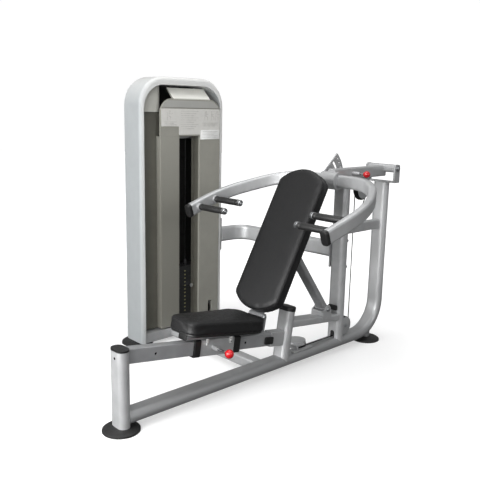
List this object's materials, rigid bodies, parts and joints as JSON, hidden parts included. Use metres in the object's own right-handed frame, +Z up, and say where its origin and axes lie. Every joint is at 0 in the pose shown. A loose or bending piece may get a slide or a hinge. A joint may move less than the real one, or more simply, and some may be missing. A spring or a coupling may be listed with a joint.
{
  "type": "seated chest press machine",
  "caption": "Silver-grey seated press machine with a sliding seat, linked reclining back pad, curved pivoting press arms, cable drive and a shrouded weight tower on one side.",
  "frame": {"origin": "middle of the footprint on the floor", "axes": "+X from the front post to the rear upright, +Y toward the weight tower, +Z up"},
  "size_m": [2.046, 1.5186, 1.622],
  "materials": {
    "silver_paint": "satin silver-grey powder coat on steel tube",
    "dark_paint": "darker silver-grey powder coat",
    "white_paint": "smooth satin white powder coat",
    "panel_paint": "satin warm grey sheet panel",
    "recess_paint": "satin dark grey sheet panel",
    "placard_face": "printed pale grey plastic placard",
    "foot_rubber": "matte black moulded rubber",
    "grip_rubber": "matte black rubber sleeve",
    "black_plastic": "satin black moulded nylon",
    "black_vinyl": "soft black upholstery vinyl with a light sheen",
    "red_knob": "glossy red ball knob",
    "bright_chrome": "polished chrome",
    "stack_iron": "black painted iron plate",
    "cable_black": "black nylon coated steel cable"
  },
  "bodies": {
    "frame": {"foot_front": "foot_rubber", "foot_rear": "foot_rubber", "foot_tower_left": "foot_rubber", "foot_tower_right": "foot_rubber", "front_post": "silver_paint", "front_post_cap": "black_plastic", "main_beam": "silver_paint", "mid_upright": "silver_paint", "lever_rest_bumper": "foot_rubber", "leaning_post": "silver_paint", "mid_tube": "silver_paint", "high_cross_tube": "silver_paint", "seat_rail": "silver_paint", "lever_pivot_bracket": "silver_paint", "low_pulley_bracket": "silver_paint", "flat_pulley_bracket": "silver_paint", "tower_base": "silver_paint", "guide_frame": "silver_paint", "cable_anchor": "cable_black", "cable_run": "cable_black", "stack_lower_plates": "stack_iron", "stack_buffer": "foot_rubber", "tower_arch": "white_paint", "tower_back_panel": "recess_paint", "tower_recess_panel": "recess_paint", "tower_cowl": "panel_paint", "front_panel_left": "panel_paint", "front_panel_right": "panel_paint", "instruction_placard": "placard_face", "front_header": "panel_paint", "lower_brace": "silver_paint", "upper_brace": "silver_paint"},
    "seat_carriage": {"carriage_sleeve": "silver_paint", "carriage_bushing_front": "black_plastic", "carriage_bushing_rear": "black_plastic", "seat_support": "dark_paint", "seat_cushion": "black_vinyl"},
    "seat_pin": {"seat_pull_pin": "red_knob"},
    "back_pad": {"back_cushion": "black_vinyl", "pad_frame": "dark_paint"},
    "strut": {"strut": "dark_paint"},
    "lever": {"lever_beam": "silver_paint", "cable_over_lever_pulley": "cable_black"},
    "arm_pin": {"arm_pull_pin": "red_knob"},
    "yoke": {"yoke_hub": "silver_paint", "press_arm_near": "silver_paint", "press_arm_far": "silver_paint", "grip_near_lower": "grip_rubber", "grip_near_upper": "grip_rubber", "grip_far_lower": "grip_rubber", "grip_far_upper": "grip_rubber", "sector_plate": "silver_paint"},
    "lever_wheel": {"lever_pulley": "black_plastic"},
    "low_wheel": {"low_pulley": "black_plastic"},
    "flat_wheel": {"flat_pulley": "black_plastic"},
    "tower_wheel": {"tower_pulley": "black_plastic"},
    "top_wheel": {"top_pulley": "black_plastic"},
    "lifted_weights": {"stack_lifted_plates": "stack_iron"},
    "selector_pin": {"stack_selector_pin": "bright_chrome"}
  },
  "joints": [
    {"name": "lever_swing", "type": "hinge", "parent": "frame", "child": "lever", "pos_m": [0.993, -0.23469, 1.105], "axis": [0, 1, 0], "range_deg": [0, 30]},
    {"name": "arm_angle", "type": "hinge", "parent": "lever", "child": "yoke", "pos_m": [0.492, -0.23469, 1.055], "axis": [0, 1, 0], "range_deg": [0, 30.6]},
    {"name": "arm_pin_pull", "type": "slide", "parent": "lever", "child": "arm_pin", "axis": [0, -1, 0], "range_m": [0, 0.012], "stiffness_N_per_m": 900, "springref_m": -0.006},
    {"name": "seat_slide", "type": "slide", "parent": "frame", "child": "seat_carriage", "axis": [0.9889, 0, -0.1483], "range_m": [-0.229, 0.171]},
    {"name": "seat_pin_pull", "type": "slide", "parent": "seat_carriage", "child": "seat_pin", "axis": [0, -1, 0], "range_m": [0, 0.012], "stiffness_N_per_m": 900, "springref_m": -0.006},
    {"name": "back_tilt", "type": "hinge", "parent": "seat_carriage", "child": "back_pad", "pos_m": [-0.07831, -0.23469, 0.36818], "axis": [0, 1, 0], "range_deg": [-17, 23]},
    {"name": "strut_swing", "type": "hinge", "parent": "frame", "child": "strut", "pos_m": [0.465, -0.23469, 0.3], "axis": [0, 1, 0], "range_deg": [-13, 10]},
    {"name": "stack_lift", "type": "slide", "parent": "frame", "child": "lifted_weights", "axis": [0, 0, 1], "range_m": [0, 0.22]},
    {"name": "selector_pin_pull", "type": "slide", "parent": "lifted_weights", "child": "selector_pin", "axis": [0, -1, 0], "range_m": [0, 0.05]},
    {"name": "lever_pulley_turn", "type": "hinge", "parent": "lever", "child": "lever_wheel", "pos_m": [0.784, -0.23469, 0.985], "axis": [0, 1, 0], "range_deg": [0, 101.2]},
    {"name": "low_pulley_turn", "type": "hinge", "parent": "frame", "child": "low_wheel", "pos_m": [0.672, -0.23469, 0.15], "axis": [0, 1, 0], "range_deg": [-250.9, 0]},
    {"name": "flat_pulley_turn", "type": "hinge", "parent": "frame", "child": "flat_wheel", "pos_m": [0.303, -0.18469, 0.1], "axis": [0, 0, 1], "range_deg": [0, 250.9]},
    {"name": "tower_pulley_turn", "type": "hinge", "parent": "frame", "child": "tower_wheel", "pos_m": [0.253, 0.60431, 0.145], "axis": [1, 0, 0], "range_deg": [-278.8, 0]},
    {"name": "top_pulley_turn", "type": "hinge", "parent": "frame", "child": "top_wheel", "pos_m": [0.19, 0.64931, 1.345], "axis": [0, 1, 0], "range_deg": [0, 199.2]}
  ],
  "couplings": [
    {"joint": "stack_lift", "follows": "lever_swing", "m_per_rad": 0.418},
    {"joint": "lever_pulley_turn", "follows": "lever_swing", "ratio": 3.37},
    {"joint": "low_pulley_turn", "follows": "lever_swing", "ratio": -8.36},
    {"joint": "flat_pulley_turn", "follows": "lever_swing", "ratio": 8.36},
    {"joint": "tower_pulley_turn", "follows": "lever_swing", "ratio": -9.29},
    {"joint": "top_pulley_turn", "follows": "lever_swing", "ratio": 6.635},
    {"joint": "back_tilt", "follows": "seat_slide", "rad_per_m": -1.7},
    {"joint": "strut_swing", "follows": "seat_slide", "rad_per_m": 0.953}
  ]
}
